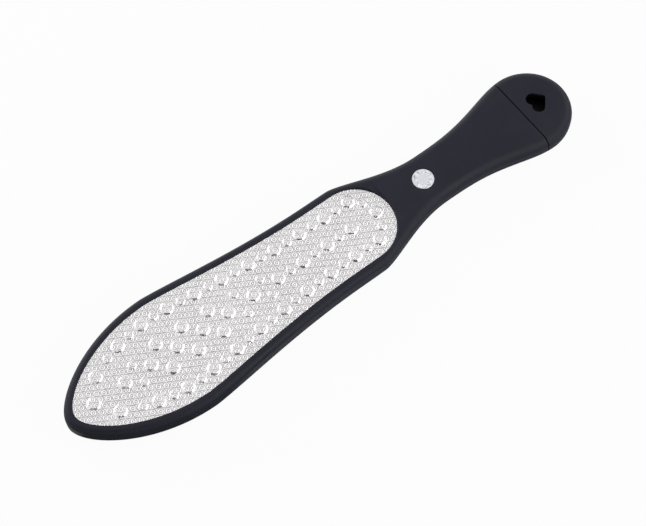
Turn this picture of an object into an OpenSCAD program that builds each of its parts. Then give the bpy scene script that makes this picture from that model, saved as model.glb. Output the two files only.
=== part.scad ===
// Foot file: a hollow two-part plastic body, a steel file plate on each side, a rivet in the neck and an end cap.
// The file lies along X with its toe at -X and its butt at +X. Its back rests on Z = 0.
// Sizes are in millimetres. A place that ends in _at is measured along X from the tip of the toe.

/* [Outline] */
// Length of the paddle, from the tip of the toe to the shoulder where it turns in to the neck
paddle_len = 148; // [145:0.5:152]
// Length of the handle, from the shoulder to the end of the butt
handle_len = 117; // [110:0.5:125]
// Greatest width of the paddle
paddle_w = 56.2; // [52:0.1:59]
// Place of the paddle's greatest width
belly_at = 54.5; // [50:0.5:60]
// Width of the paddle at its heel
heel_w = 43.6; // [40:0.1:46]
// Run of the heel, of even width, in front of the shoulder
heel_run = 12; // [6:0.5:16]
// Width of the neck
neck_w = 24.4; // [23:0.1:28]
// Distance from the shoulder to the narrowest place of the neck
neck_run = 41.5; // [36:0.5:46]
// Greatest width of the butt
butt_w = 39.6; // [37:0.1:42]
// Length of the butt's rounded end
butt_len = 20.9; // [18:0.1:23]

/* [Thickness] */
// Thickness of the paddle
paddle_t = 10; // [9.6:0.1:10.8]
// Thickness of the handle
handle_t = 11.2; // [11:0.1:13]
// Radius of the paddle's edges
paddle_edge_r = 2.8; // [2:0.1:3.2]
// Radius of the neck's edges
neck_edge_r = 4.5; // [3:0.1:4.7]
// Radius of the butt's edges
butt_edge_r = 4.6; // [3:0.1:4.8]
// Thickness of the body's side wall
side_wall = 2.4; // [2:0.1:2.8]
// Thickness of the handle's front and back walls
handle_wall = 2; // [1.6:0.1:2.4]
// Thickness of the floor under each plate seat
seat_wall = 1.4; // [1.2:0.1:1.6]
// Thickness of the ribs inside the body
rib_t = 1.6; // [1.2:0.1:2.4]

/* [File plates] */
// Width of the plastic rim at the tip of the toe
toe_rim_w = 4.2; // [3.4:0.1:4.6]
// Width of the plastic rim beside the plates
rim_w = 4; // [3.4:0.1:4.4]
// Thickness of the sheet steel
plate_t = 0.5; // [0.4:0.05:0.6]
// Thickness of the mounting tape
tape_t = 0.4; // [0.3:0.05:0.5]
// Margin of bare steel round the mounting tape
tape_margin = 1; // [0.5:0.1:2]
// Depth of the plates below the rim
plate_drop = 0.2; // [0:0.05:0.3]
// Gap round each plate
plate_gap = 0.15; // [0.1:0.05:0.3]
// Diameter of the large domes
dome_d = 6.2; // [5:0.1:6.6]
// Height of the large domes
dome_h = 0.6; // [0.4:0.05:0.8]
// Diameter of the small domes
small_dome_d = 4.2; // [3.4:0.1:4.8]
// Height of the small domes
small_dome_h = 0.45; // [0.3:0.05:0.6]
// Pitch of the rows of domes
dome_pitch = 13; // [12.6:0.1:13.2]
// Place of the single dome in the toe
toe_dome_at = 13.5; // [13:0.1:15]
// Place of the first full row of domes
first_row_at = 28.8; // [28:0.1:30]
// Distance from the plate's edge to the outer domes
dome_margin = 6.6; // [6:0.1:7]

/* [Rivet] */
// Distance from the narrowest place of the neck back to the rivet
rivet_set_back = 4.6; // [-1:0.1:7]
// Diameter of the rivet's heads
rivet_head_d = 10; // [9:0.1:11]
// Thickness of the rivet's heads
rivet_head_t = 1.2; // [0.9:0.1:1.5]
// Depth of the heads below the surface
rivet_drop = 0.1; // [0:0.05:0.2]
// Gap round the heads
rivet_gap = 0.15; // [0.1:0.05:0.3]
// Outer diameter of the rivet's sleeve
rivet_sleeve_d = 6; // [5.5:0.1:6.5]
// Diameter of the rivet's pin
rivet_pin_d = 4; // [3.5:0.1:4.5]

/* [Paddle screws] */
// Diameter of the screws' shanks
screw_d = 2.4; // [2:0.1:2.8]
// Diameter of the screws' heads
screw_head_d = 5; // [4.4:0.1:5.2]
// Thickness of the screws' heads
screw_head_t = 1.5; // [1.2:0.1:1.6]
// Diameter of the bosses
boss_d = 8; // [7.5:0.1:9]
// Place of the screw in the toe
toe_screw_at = 24; // [20:0.5:28]
// Place of the pair of screws in the belly
belly_screws_at = 66; // [60:0.5:72]
// Distance between the belly's two screws
belly_screw_pitch = 30; // [26:0.5:34]
// Distance from the shoulder back to the screw in the heel
heel_screw_set_back = 4; // [0:0.5:10]

/* [End cap] */
// Length of the cap
cap_len = 24.2; // [22:0.1:25]
// Width of the joint line in front of the cap
seam_gap = 0.3; // [0.2:0.05:0.5]
// Length of the cap's spigot inside the handle
spigot_len = 14; // [12:0.5:16]
// Clearance round the spigot
spigot_fit = 0.15; // [0.1:0.05:0.25]
// Wall of the spigot
spigot_wall = 1.4; // [1.2:0.1:1.8]
// Diameter of the studs that lock the spigot
stud_d = 4; // [3.5:0.1:5]
// Distance between the two studs
stud_pitch = 18; // [16:0.5:19]
// Length of the heart along the file
heart_len = 8.4; // [7:0.1:9]
// Width of the heart
heart_w = 10.4; // [9:0.1:11]
// Distance from the butt's end to the middle of the heart
heart_from_end = 14.8; // [14:0.1:15.5]
// Radius of the heart's point
heart_tip_r = 1.3; // [0.5:0.1:1.5]

/* [Hidden] */
$fn = 48;

// Overrun of every cut past the face it opens
over = 1;
// Play of a screw in its pilot hole, of the pin in the rivet's sleeve and of the sleeve in the shells
pilot_fit = 0.05;
pin_fit = 0.05;
sleeve_fit = 0.1;
// Play of a screw's shank and head in the back shell
shank_play = 0.3;
head_play = 0.2;
// Sizes of the cross recess in a screw's head
recess_len = 2.8;
recess_w = 0.7;
recess_depth = 0.8;
// Gap between a screw's head and the tape over it
head_drop = 0.1;
// Plastic left over the blind end of a screw's pilot hole, and the gap at the screw's tip
pilot_skin = 0.5;
pilot_end_gap = 0.2;
// Space between the rivet's sleeve and the head that it meets
sleeve_relief = 0.5;
// Solid plastic round the rivet
rivet_land_w = 4;
// Turned groove in the face of a rivet's head
rivet_groove_w = 0.4;
rivet_groove_depth = 0.15;
rivet_groove_inset = 0.5;
// Pitch of the ribs across the paddle
rib_pitch = 20;
// Place where the outer row of domes would meet in the toe
outer_row_from = 11.5;
// Turn of the heel's last pair of domes from the middle line
heel_pair_angle = 38;
// Width of a dome's flat top, place of the toe's pair of domes, and size of the heart's lobes
dome_top_share = 0.7;
toe_pair_share = 0.45;
heart_lobe_share = 0.56;

// Shapes of the outline: roundness of the toe, and how early each side curve bends
toe_round_share = 0.65;
belly_bend_share = 0.7;
neck_bend_share = 0.77;
butt_bend_share = 1.55;
// Place between the shoulder and the neck where the handle reaches its full thickness
rise_share = 0.8;
// Counts of outline points along the toe, the paddle's sides, the shoulder, the handle and each round end
toe_n = 12;
side_n = 9;
shoulder_n = 14;
handle_n = 12;
round_end_n = 10;
// Steps of each rounded edge
edge_n = 4;

part_z = paddle_t / 2;
length = paddle_len + handle_len;
shoulder_at = paddle_len;
heel_at = shoulder_at - heel_run;
neck_at = shoulder_at + neck_run;
rivet_at = neck_at - rivet_set_back;
heel_screw_at = shoulder_at - heel_screw_set_back;
butt_at = length - butt_len;
seam_at = length - cap_len;
seat_depth = plate_drop + plate_t + tape_t;
plate_heel_r = heel_w / 2 - rim_w;
screw_seat_z = seat_depth + head_drop + screw_head_t;
pilot_top = paddle_t - seat_depth - pilot_skin;
rivet_pin_len = handle_t - 2 * (rivet_drop + rivet_head_t) - sleeve_relief;

function mix(a, b, share) = a + (b - a) * share;
function smooth(t) = t * t * (3 - 2 * t);
function ramp(x, from, to) = smooth(min(max((x - from) / (to - from), 0), 1));

// Half width of the paddle, or of a line inset from its side, at a place between its tip and its heel
function toe_half_width(share) = toe_round_share * share + (1 - toe_round_share) * share * share;
function paddle_half_width(x, tip, inset) = x < belly_at
    ? (paddle_w / 2 - inset) * toe_half_width(sqrt(max(1 - pow((belly_at - x) / (belly_at - tip), 2), 0)))
    : mix(paddle_w, heel_w, smooth(pow(min((x - belly_at) / (heel_at - belly_at), 1), belly_bend_share))) / 2
        - inset;

// One side of the paddle, from the tip to the heel
function paddle_side(tip, inset) = concat(
    [for (i = [0 : toe_n]) let (x = mix(tip, belly_at, 1 - cos(90 * i / toe_n)))
        [x, paddle_half_width(x, tip, inset)]],
    [for (i = [1 : side_n]) let (x = mix(belly_at, heel_at, i / side_n))
        [x, paddle_half_width(x, tip, inset)]]);

// One side of the whole body, and of a file plate
body_side = concat(
    paddle_side(0, 0),
    [for (i = [0 : shoulder_n]) let (t = i / shoulder_n)
        [mix(shoulder_at, neck_at, t), mix(heel_w, neck_w, smooth(pow(t, neck_bend_share))) / 2]],
    [for (i = [1 : handle_n]) let (t = i / handle_n)
        [mix(neck_at, butt_at, t), mix(neck_w, butt_w, smooth(pow(t, butt_bend_share))) / 2]],
    [for (i = [1 : round_end_n]) let (f = 90 * i / round_end_n)
        [butt_at + butt_len * sin(f), butt_w / 2 * cos(f)]]);
plate_side = concat(
    paddle_side(toe_rim_w, rim_w),
    [for (i = [0 : round_end_n]) let (f = 90 * i / round_end_n)
        [shoulder_at + plate_heel_r * sin(f), plate_heel_r * cos(f)]]);

// A closed outline from one side, and its outward normals
function closed(side) = let (last = len(side) - 1) concat(
    [for (i = [0 : last]) [side[i].x, i == 0 || i == last ? 0 : -side[i].y]],
    [for (i = [last - 1 : -1 : 1]) side[i]]);
function normals(points) = let (n = len(points))
    [for (i = [0 : n - 1]) let (d = points[(i + 1) % n] - points[(i + n - 1) % n]) [d.y, -d.x] / norm(d)];
function grown(points, by) = let (out = normals(points)) [for (i = [0 : len(points) - 1]) points[i] + out[i] * by];

body_outline = closed(body_side);
body_normals = normals(body_outline);
plate_outline = closed(plate_side);

// Height of the body's front face and radius of its edges along the file
rise_from = heel_at;
rise_to = mix(shoulder_at, neck_at, rise_share);
function body_top(x) = mix(paddle_t, handle_t, ramp(x, rise_from, rise_to));
function edge_r(x) = mix(mix(paddle_edge_r, neck_edge_r, ramp(x, rise_from, rise_to)), butt_edge_r,
    ramp(x, neck_at, butt_at));

// One level of the body's skin: the outline drawn in and raised as the rounded edge turns
function skin_level(front, angle) = [for (i = [0 : len(body_outline) - 1])
    let (p = body_outline[i], r = edge_r(p.x), q = p - body_normals[i] * r * (1 - cos(angle)))
    [q.x, q.y, front ? body_top(p.x) - r * (1 - sin(angle)) : r * (1 - sin(angle))]];

// Triangles of the flat face inside a level, in strips across the file, seen from the front or the back
function flat_face(first, n, back) = let (half = n / 2) concat(
    [back ? [first, first + 1, first + n - 1] : [first, first + n - 1, first + 1]],
    [back ? [first + half - 1, first + half, first + half + 1]
        : [first + half - 1, first + half + 1, first + half]],
    [for (i = [1 : half - 2])
        let (a = first + i, b = a + 1, c = first + n - i - 1, d = c + 1)
        each back ? [[a, c, d], [a, b, c]] : [[a, d, c], [a, c, b]]]);

module body_solid() {
    levels = concat(
        [for (i = [edge_n : -1 : 0]) skin_level(false, 90 * i / edge_n)],
        [for (i = [0 : edge_n]) skin_level(true, 90 * i / edge_n)]);
    n = len(body_outline);
    sides = [for (j = [0 : len(levels) - 2], i = [0 : n - 1])
        let (a = j * n + i, b = j * n + (i + 1) % n, c = b + n, d = a + n)
        each [[a, d, c], [a, c, b]]];
    polyhedron(
        points = [for (level = levels) each level],
        faces = concat(sides, flat_face(0, n, true), flat_face((len(levels) - 1) * n, n, false)));
}

// The space between two places and two heights, as wide as any piece
module slab(x_from, x_to, z_from, z_to) {
    width = 2 * paddle_w;
    translate([x_from, -width / 2, z_from])
        cube([x_to - x_from, width, z_to - z_from]);
}

// A plate, or a cut of its shape, grown by a margin
module plate_shape(z_from, z_to, margin) {
    translate([0, 0, z_from])
        linear_extrude(z_to - z_from)
            polygon(grown(plate_outline, margin));
}

// The body's inside, drawn in from the sides of the body
module inside(inset, z_from, z_to) {
    translate([0, 0, z_from])
        linear_extrude(z_to - z_from)
            polygon(grown(body_outline, -inset));
}

module file_frame() {
    translate([-length / 2, 0, 0])
        children();
}

// Inside of the body
paddle_hollow_top = paddle_t - seat_depth - seat_wall;
paddle_hollow_to = rivet_at - rivet_head_d / 2 - rivet_land_w;
handle_hollow_from = rivet_at + rivet_head_d / 2 + rivet_land_w;
handle_hollow_top = handle_t - handle_wall;
shell_end = seam_at - seam_gap;
spigot_from = seam_at - spigot_len;
stud_at = seam_at - spigot_len / 2;
screw_places = [[toe_screw_at, 0], [belly_screws_at, belly_screw_pitch / 2],
    [belly_screws_at, -belly_screw_pitch / 2], [heel_screw_at, 0]];

// A stiffening rib along the middle of the file
module long_rib(x_from, x_to, z_from, z_to) {
    translate([x_from, -rib_t / 2, z_from])
        cube([x_to - x_from, rib_t, z_to - z_from]);
}

// The hollow of the paddle in one shell, between two heights, with its ribs and bosses left standing
module paddle_hollow(z_from, z_to) {
    rib_from = toe_screw_at + rib_pitch / 2;
    difference() {
        intersection() {
            inside(side_wall, z_from, z_to);
            slab(-over, paddle_hollow_to, z_from - over, z_to + over);
        }
        long_rib(0, paddle_hollow_to, z_from - over, z_to + over);
        for (x = [rib_from : rib_pitch : paddle_hollow_to - rib_pitch / 2])
            slab(x, x + rib_t, z_from - over, z_to + over);
        for (place = screw_places)
            translate([place.x, place.y, z_from - over])
                cylinder(d = boss_d, h = z_to - z_from + 2 * over);
    }
}

// The hollow of the handle in one shell, with its ribs and the studs that lock the end cap
module handle_hollow(z_from, z_to) {
    stop_from = spigot_from - spigot_fit - rib_t;
    difference() {
        intersection() {
            inside(side_wall, z_from, z_to);
            slab(handle_hollow_from, seam_at, z_from - over, z_to + over);
        }
        long_rib(handle_hollow_from, stop_from, z_from - over, z_to + over);
        slab(stop_from, stop_from + rib_t, z_from - over, z_to + over);
        for (side = [-1, 1])
            translate([stud_at, side * stud_pitch / 2, z_from - over])
                cylinder(d = stud_d, h = z_to - z_from + 2 * over);
    }
}

// The bore of the rivet's sleeve, and the seat of a rivet's head between two heights
module rivet_bore() {
    translate([rivet_at, 0, -over])
        cylinder(d = rivet_sleeve_d + 2 * sleeve_fit, h = handle_t + 2 * over);
}

module rivet_seat(z_from, z_to) {
    translate([rivet_at, 0, z_from])
        cylinder(d = rivet_head_d + 2 * rivet_gap, h = z_to - z_from);
}

module front_shell() {
    color("#2f3037")
        file_frame()
            difference() {
                intersection() {
                    body_solid();
                    slab(-over, shell_end, part_z, handle_t + over);
                }
                plate_shape(paddle_t - seat_depth, handle_t + over, plate_gap);
                paddle_hollow(part_z, paddle_hollow_top);
                handle_hollow(part_z, handle_hollow_top);
                rivet_bore();
                rivet_seat(handle_t - rivet_drop - rivet_head_t, handle_t + over);
                for (place = screw_places)
                    translate([place.x, place.y, part_z])
                        cylinder(d = screw_d + 2 * pilot_fit, h = pilot_top - part_z);
            }
}

module back_shell() {
    color("#2f3037")
        file_frame()
            difference() {
                intersection() {
                    body_solid();
                    slab(-over, shell_end, -over, part_z);
                }
                plate_shape(-over, seat_depth, plate_gap);
                paddle_hollow(paddle_t - paddle_hollow_top, part_z);
                handle_hollow(handle_wall, part_z);
                rivet_bore();
                rivet_seat(-over, rivet_drop + rivet_head_t);
                for (place = screw_places)
                    translate([place.x, place.y, -over]) {
                        cylinder(d = screw_d + 2 * shank_play, h = part_z + 2 * over);
                        cylinder(d = screw_head_d + 2 * head_play, h = screw_seat_z + over);
                    }
            }
}

module front_plate_tape() {
    color("#e9e6dc")
        file_frame()
            plate_shape(paddle_t - seat_depth, paddle_t - seat_depth + tape_t, -tape_margin);
}

module back_plate_tape() {
    color("#e9e6dc")
        file_frame()
            plate_shape(seat_depth - tape_t, seat_depth, -tape_margin);
}

// The domes: one in the toe, then rows of three and rows of four or five set halfway between them
row_n = floor((shoulder_at - first_row_at) / dome_pitch) + 1;
large_dome = [dome_d, dome_h];
small_dome = [small_dome_d, small_dome_h];
// Each inner pair: its distance from the middle as a share of the plate's half width, and its dome
inner_shares = [0.21, 0.27, 0.27, 0.26, 0.26, 0.23];
inner_domes = [small_dome, large_dome, large_dome, large_dome, small_dome, small_dome];
heel_row_r = plate_heel_r - dome_margin;
function outer_y(x) = paddle_half_width(x, outer_row_from, rim_w + dome_margin);
function pair(x, y, dome) = [[x, y, dome], [x, -y, dome]];
function row_x(k) = first_row_at + k * dome_pitch;
domes = concat(
    [[toe_dome_at, 0, large_dome], [shoulder_at + heel_row_r, 0, large_dome]],
    pair(mix(toe_dome_at, first_row_at, toe_pair_share), outer_y(mix(toe_dome_at, first_row_at, toe_pair_share)),
        large_dome),
    pair(shoulder_at + heel_row_r * cos(heel_pair_angle), heel_row_r * sin(heel_pair_angle), small_dome),
    [for (k = [0 : row_n - 1]) [row_x(k), 0, large_dome]],
    [for (k = [0 : row_n - 1]) each pair(row_x(k), outer_y(row_x(k)), small_dome)],
    [for (k = [0 : row_n - 1]) each pair(row_x(k + 0.5), outer_y(row_x(k + 0.5)), large_dome)],
    [for (k = [0 : len(inner_shares) - 1]) let (x = row_x(k + 0.5))
        each pair(x, inner_shares[k] * paddle_half_width(x, toe_rim_w, rim_w), inner_domes[k])],
    [for (k = [len(inner_shares) : row_n - 2]) [row_x(k + 0.5), 0, small_dome]]);

// A dome's outside, or the hollow under it, from the sheet's lower face
module dome_shape(dome, draw_in, z_from) {
    translate([0, 0, z_from])
        cylinder(d1 = dome[0] - 2 * draw_in, d2 = dome_top_share * dome[0] - 2 * draw_in, h = dome[1]);
}

module front_file_plate() {
    plate_z = paddle_t - plate_drop - plate_t;
    color("#d8d7d7")
        file_frame()
            difference() {
                union() {
                    plate_shape(plate_z, plate_z + plate_t, 0);
                    for (dome = domes)
                        translate([dome.x, dome.y, plate_z])
                            dome_shape(dome.z, 0, plate_t);
                }
                for (dome = domes)
                    translate([dome.x, dome.y, plate_z])
                        dome_shape(dome.z, plate_t / 2, 0);
            }
}

module back_file_plate() {
    color("#cfcfd1")
        file_frame()
            plate_shape(plate_drop, plate_drop + plate_t, 0);
}

// A rivet's head, from its underside up to its face, with a turned groove near the rim
module rivet_head() {
    difference() {
        cylinder(d = rivet_head_d, h = rivet_head_t);
        translate([0, 0, rivet_head_t - rivet_groove_depth])
            rotate_extrude()
                translate([rivet_head_d / 2 - rivet_groove_inset - rivet_groove_w, 0])
                    square([rivet_groove_w, rivet_groove_depth + over]);
    }
}

module neck_rivet_front() {
    color("#d7d8e0")
        file_frame()
            translate([rivet_at, 0, handle_t - rivet_drop - rivet_head_t]) {
                rivet_head();
                translate([0, 0, -rivet_pin_len])
                    cylinder(d = rivet_pin_d, h = rivet_pin_len);
            }
}

module neck_rivet_back() {
    color("#d7d8e0")
        file_frame()
            translate([rivet_at, 0, rivet_drop + rivet_head_t])
                difference() {
                    union() {
                        rotate([180, 0, 0])
                            rivet_head();
                        cylinder(d = rivet_sleeve_d, h = rivet_pin_len);
                    }
                    cylinder(d = rivet_pin_d + 2 * pin_fit, h = rivet_pin_len + over);
                }
}

module paddle_screws() {
    color("#9a9ba0")
        file_frame()
            for (place = screw_places)
                translate([place.x, place.y, screw_seat_z]) {
                    cylinder(d = screw_d, h = pilot_top - pilot_end_gap - screw_seat_z);
                    difference() {
                        translate([0, 0, -screw_head_t])
                            cylinder(d = screw_head_d, h = screw_head_t);
                        for (turn = [0, 90])
                            rotate(turn)
                                translate([-recess_len / 2, -recess_w / 2, -screw_head_t - over])
                                    cube([recess_len, recess_w, recess_depth + over]);
                    }
                }
}

// A heart with its point at +X and its lobes at -X, centred on its length
module heart() {
    lobe_r = heart_w * heart_lobe_share / 2;
    lobe_y = heart_w / 2 - lobe_r;
    lobe_x = lobe_r - heart_len / 2;
    for (side = [-1, 1])
        hull() {
            translate([lobe_x, side * lobe_y])
                circle(r = lobe_r);
            translate([heart_len / 2 - heart_tip_r, 0])
                circle(r = heart_tip_r);
        }
}

module end_cap() {
    spigot_z = handle_wall + spigot_fit;
    hollow_z = spigot_z + spigot_wall;
    color("#2f3037")
        file_frame()
            difference() {
                union() {
                    intersection() {
                        body_solid();
                        slab(seam_at, length + over, -over, handle_t + over);
                    }
                    intersection() {
                        inside(side_wall + spigot_fit, spigot_z, handle_t - spigot_z);
                        slab(spigot_from, seam_at + over, 0, handle_t);
                    }
                }
                intersection() {
                    inside(side_wall + spigot_fit + spigot_wall, hollow_z, handle_t - hollow_z);
                    slab(spigot_from - over, length, 0, handle_t);
                }
                translate([length - heart_from_end, 0, handle_t / 2])
                    linear_extrude(handle_t)
                        heart();
                for (side = [-1, 1])
                    translate([stud_at, side * stud_pitch / 2, 0])
                        cylinder(d = stud_d + 2 * spigot_fit, h = handle_t);
            }
}

front_shell();
back_shell();
front_plate_tape();
back_plate_tape();
front_file_plate();
back_file_plate();
neck_rivet_front();
neck_rivet_back();
paddle_screws();
end_cap();
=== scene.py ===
import math

import bmesh
import bpy
import numpy as np
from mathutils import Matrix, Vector


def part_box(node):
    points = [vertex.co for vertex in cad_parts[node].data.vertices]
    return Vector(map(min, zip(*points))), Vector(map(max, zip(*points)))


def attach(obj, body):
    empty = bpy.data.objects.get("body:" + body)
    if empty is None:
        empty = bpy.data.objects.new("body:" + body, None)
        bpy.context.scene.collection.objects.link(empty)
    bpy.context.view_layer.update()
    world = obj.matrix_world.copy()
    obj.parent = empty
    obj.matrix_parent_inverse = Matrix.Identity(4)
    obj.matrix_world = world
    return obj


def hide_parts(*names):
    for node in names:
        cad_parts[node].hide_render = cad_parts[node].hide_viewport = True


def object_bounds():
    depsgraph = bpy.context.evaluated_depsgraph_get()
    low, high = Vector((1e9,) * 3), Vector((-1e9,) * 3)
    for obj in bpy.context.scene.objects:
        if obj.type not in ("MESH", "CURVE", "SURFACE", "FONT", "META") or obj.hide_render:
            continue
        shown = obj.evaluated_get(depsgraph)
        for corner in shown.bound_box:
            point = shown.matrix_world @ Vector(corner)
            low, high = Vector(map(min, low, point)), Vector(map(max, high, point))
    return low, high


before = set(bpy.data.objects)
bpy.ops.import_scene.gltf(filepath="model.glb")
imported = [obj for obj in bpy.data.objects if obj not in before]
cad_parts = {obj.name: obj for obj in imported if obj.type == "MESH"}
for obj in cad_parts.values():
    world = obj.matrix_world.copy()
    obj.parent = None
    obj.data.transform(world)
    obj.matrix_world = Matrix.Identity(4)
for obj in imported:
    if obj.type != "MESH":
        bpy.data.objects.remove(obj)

cad_box = [list(corner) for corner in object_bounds()]


# The front and back shells: two hollow halves moulded in blue-black ABS with a soft-touch skin. They meet
# halfway up the paddle's side, and each has a seat for its plate and a round recess for the rivet. Sizes are
# in millimetres, and every x is measured from the tip of the toe.
MM = 0.001


def extent(node):
    """Lowest and highest corner of a CAD node, in millimetres, with x still from the frame's origin."""
    return [np.array(corner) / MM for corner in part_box(node)]


file_low, file_high = (np.array(corner) / MM for corner in cad_box)
toe_x = file_low[0]
length = file_high[0] - toe_x
paddle_w = file_high[1] - file_low[1]
handle_t = file_high[2]
shell_low, shell_high = extent("front_shell")
part_z = shell_low[2]
paddle_t = 2 * part_z
shell_end = shell_high[0] - toe_x

paddle_len = 148
belly_at = 54.5
heel_w = 43.6
heel_at = paddle_len - 12
neck_w = 24.4
neck_at = paddle_len + 41.5
butt_w = 2 * extent("end_cap")[1][1]
butt_at = length - 20.9
rise_to = paddle_len + 0.8 * (neck_at - paddle_len)
paddle_edge_r = 2.8
neck_edge_r = 4.5
butt_edge_r = 4.6
toe_round_share = 0.65
belly_bend_share = 0.7
neck_bend_share = 0.77
butt_bend_share = 1.55


def smooth(t):
    """Eases from 0 to 1: t squared times (3 - 2 t), held at both ends."""
    t = np.clip(t, 0, 1)
    return t * t * (3 - 2 * t)


def mix(a, b, share):
    """a at share 0, b at share 1."""
    return a + (b - a) * share


def paddle_half_width(x, tip, inset):
    """A rounded nose from the tip to the belly, then an eased run in to the heel, all drawn in by inset."""
    nose = np.sqrt(np.clip(1 - ((belly_at - x) / (belly_at - tip)) ** 2, 0, 1))
    nose = mix(nose ** 2, nose, toe_round_share)
    run = np.clip((x - belly_at) / (heel_at - belly_at), 0, 1) ** belly_bend_share
    to_heel = mix(paddle_w, heel_w, smooth(run)) / 2 - inset
    return np.where(x < belly_at, (paddle_w / 2 - inset) * nose, to_heel)


def paddle_side(tip, inset):
    """Points (x, half width) from the tip to the heel: cosine steps round the nose, then even ones."""
    turn = np.linspace(0, math.pi / 2, 400)
    x = np.concatenate([mix(tip, belly_at, 1 - np.cos(turn)), np.linspace(belly_at, heel_at, 400)[1:]])
    return np.stack([x, paddle_half_width(x, tip, inset)], 1)


def body_side():
    """One side of the whole body: paddle, eased neck, widening handle, and half an ellipse for the butt."""
    t = np.linspace(0, 1, 300)
    turn = t * math.pi / 2
    neck = mix(heel_w, neck_w, smooth(t ** neck_bend_share)) / 2
    handle = mix(neck_w, butt_w, smooth(t ** butt_bend_share)) / 2
    return np.concatenate([
        paddle_side(0, 0),
        np.stack([mix(paddle_len, neck_at, t), neck], 1),
        np.stack([mix(neck_at, butt_at, t), handle], 1)[1:],
        np.stack([butt_at + (length - butt_at) * np.sin(turn), butt_w / 2 * np.cos(turn)], 1)[1:]])


def body_top(x):
    """Height of the front face: level on the paddle, eased up to the handle's thickness."""
    return mix(paddle_t, handle_t, smooth((x - heel_at) / (rise_to - heel_at)))


def edge_r(x):
    """Radius of the body's edges: small on the paddle, large in the neck, middling on the butt."""
    grown = mix(paddle_edge_r, neck_edge_r, smooth((x - heel_at) / (rise_to - heel_at)))
    return mix(grown, butt_edge_r, smooth((x - neck_at) / (butt_at - neck_at)))


def even(points, count):
    """The same line with count points at even steps along it."""
    along = np.concatenate([[0], np.cumsum(np.hypot(*np.diff(points, axis=0).T))])
    at = np.linspace(0, along[-1], count)
    return np.stack([np.interp(at, along, points[:, k]) for k in (0, 1)], 1)


def outward(path, closed):
    """Unit normals of a path that runs clockwise seen from above, so that outward is on its left."""
    step = np.roll(path, -1, 0) - np.roll(path, 1, 0) if closed else np.gradient(path, axis=0)
    return np.stack([-step[:, 1], step[:, 0]], 1) / np.hypot(*step.T)[:, None]


def level(path, normals, inset, z):
    """The path drawn in by inset along its normals, at height z. Both may change along it."""
    count = len(path)
    drawn = path - normals * np.broadcast_to(inset, count)[:, None]
    return np.column_stack([drawn, np.broadcast_to(z, count)])


def grid_faces(rows, columns, around):
    """Quads between neighbouring rows of a grid of points, joined round from the last column if around."""
    i = np.arange(columns if around else columns - 1)
    j = np.arange(rows - 1)[:, None] * columns
    near, far = j + i, j + (i + 1) % columns
    return np.stack([near, far, far + columns, near + columns], -1).reshape(-1, 4).tolist()


def mesh_piece(name, points, faces):
    """A new object from points in millimetres and faces, its place in its mesh and its faces outwards."""
    points = np.asarray(points, float) + [toe_x, 0, 0]
    mesh = bpy.data.meshes.new(name)
    mesh.from_pydata((points * MM).tolist(), [], faces)
    work = bmesh.new()
    work.from_mesh(mesh)
    bmesh.ops.recalc_face_normals(work, faces=work.faces)
    work.to_mesh(mesh)
    work.free()
    piece = bpy.data.objects.new(name, mesh)
    bpy.context.scene.collection.objects.link(piece)
    return piece


def cut_shell(name, levels):
    """A closed solid from levels of an open, mirrored path: walls, a flat end across the path's two ends,
    and a top and a bottom made of strips across the file."""
    rows, columns = len(levels), len(levels[0])
    i = np.arange(columns // 2 - 1)
    strip = np.stack([i, i + 1, columns - 2 - i, columns - 1 - i], 1)
    j = np.arange(rows - 1) * columns
    end = np.stack([j, j + columns - 1, j + 2 * columns - 1, j + columns], 1)
    faces = grid_faces(rows, columns, False) + np.concatenate([strip, strip + j[-1] + columns, end]).tolist()
    return mesh_piece(name, np.concatenate(levels), faces)


def prism(name, levels):
    """A closed solid from levels of a closed path, with a flat bottom and a flat top."""
    rows, columns = len(levels), len(levels[0])
    bottom = list(range(columns))
    top = [i + (rows - 1) * columns for i in bottom]
    return mesh_piece(name, np.concatenate(levels), grid_faces(rows, columns, True) + [bottom, top])


def carve(piece, other, operation="DIFFERENCE"):
    """Cuts other out of piece, adds it or keeps what both share, and deletes other."""
    modifier = piece.modifiers.new(operation, "BOOLEAN")
    modifier.operation = operation
    modifier.solver = "MANIFOLD"
    modifier.object = other
    finished = bpy.data.meshes.new_from_object(piece.evaluated_get(bpy.context.evaluated_depsgraph_get()))
    piece.modifiers.clear()
    piece.data = finished
    bpy.data.objects.remove(other)
    return piece


def node_copy(node):
    """A merged copy of a CAD node's mesh, for cutting with."""
    work = bmesh.new()
    work.from_mesh(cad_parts[node].data)
    bmesh.ops.remove_doubles(work, verts=work.verts, dist=1e-7)
    mesh = bpy.data.meshes.new(node + "_copy")
    work.to_mesh(mesh)
    work.free()
    piece = bpy.data.objects.new(mesh.name, mesh)
    bpy.context.scene.collection.objects.link(piece)
    return piece


def dress(piece, material):
    """One material on a piece, in place of whatever it had."""
    piece.data.materials.clear()
    piece.data.materials.append(material)


def finish_piece(piece, material, sharp_over):
    """Material and smooth shading, with the edges that turn more than sharp_over degrees left sharp."""
    dress(piece, material)
    piece.data.shade_smooth()
    piece.data.set_sharp_from_angle(angle=math.radians(sharp_over))


seam_gap = 0.3
seam_round = 0.25
part_round = 0.12
edge_turns = np.radians(np.linspace(0, 90, 11))
lip_steps = np.array([1, 0.45, 0.12, 0])
straight_run = 8
whole_side = body_side()


def cut_side(seam, towards):
    """The body's side as far as the joint line, with close points at the line for its rounded edge. towards
    is 1 for the shells, which end at the line, and -1 for the cap, which starts there."""
    kept = even(whole_side[towards * (seam - whole_side[:, 0]) > 2 * seam_round], 360)
    lip = seam - towards * seam_round * lip_steps
    lip = np.stack([lip, np.interp(lip, whole_side[:, 0], whole_side[:, 1])], 1)
    return np.concatenate([kept, lip] if towards > 0 else [lip[::-1], kept])


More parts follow.
